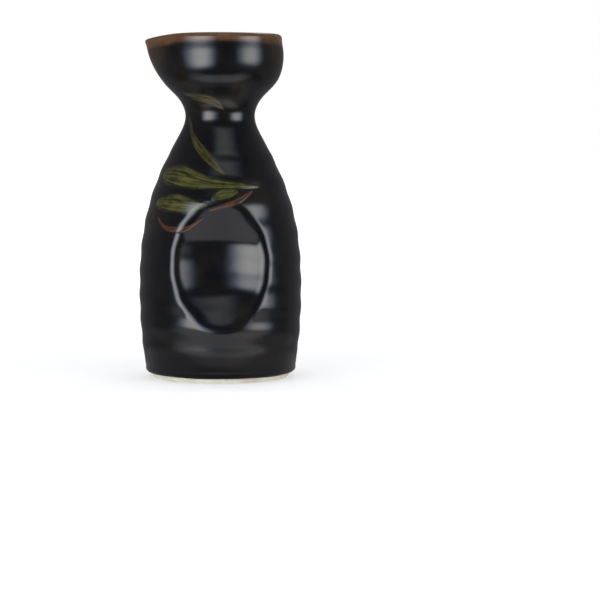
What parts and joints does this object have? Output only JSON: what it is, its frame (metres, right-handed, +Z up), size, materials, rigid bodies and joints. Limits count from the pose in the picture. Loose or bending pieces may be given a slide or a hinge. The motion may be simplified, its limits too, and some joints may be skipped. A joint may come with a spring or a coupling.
{
  "type": "sake bottle",
  "caption": "Black-glazed stoneware sake bottle with dimpled body, narrow neck, cup-shaped mouth and a pulled pouring lip.",
  "frame": {"origin": "on the bottle's axis, in the plane it stands on", "axes": "+Z up along the bottle's axis; the pouring lip points along -X; the dimpled and painted front faces -Y"},
  "size_m": [0.0762, 0.0743, 0.16],
  "materials": {
    "stoneware": "bare cream stoneware, dry matte",
    "black_glaze": "thick glossy black glaze",
    "rim_glaze": "glossy glaze broken to iron brown",
    "inner_glaze": "glossy black glaze",
    "olive_overglaze": "glossy olive overglaze, thin at its edges",
    "leaf_green_overglaze": "glossy dull green overglaze, thin at its edges",
    "iron_brown_overglaze": "glossy iron-brown overglaze, thin at its edges"
  },
  "bodies": {
    "root": {"clay_body": "stoneware", "outer_glaze": "black_glaze", "rim_glaze": "rim_glaze", "inner_glaze": "inner_glaze", "stem_stroke": "olive_overglaze", "upper_leaf_stroke": "leaf_green_overglaze", "lower_leaf_stroke": "leaf_green_overglaze", "inner_leaf_stroke": "leaf_green_overglaze", "left_brown_stroke": "iron_brown_overglaze", "right_brown_stroke": "iron_brown_overglaze", "cup_stroke": "olive_overglaze"}
  },
  "joints": []
}
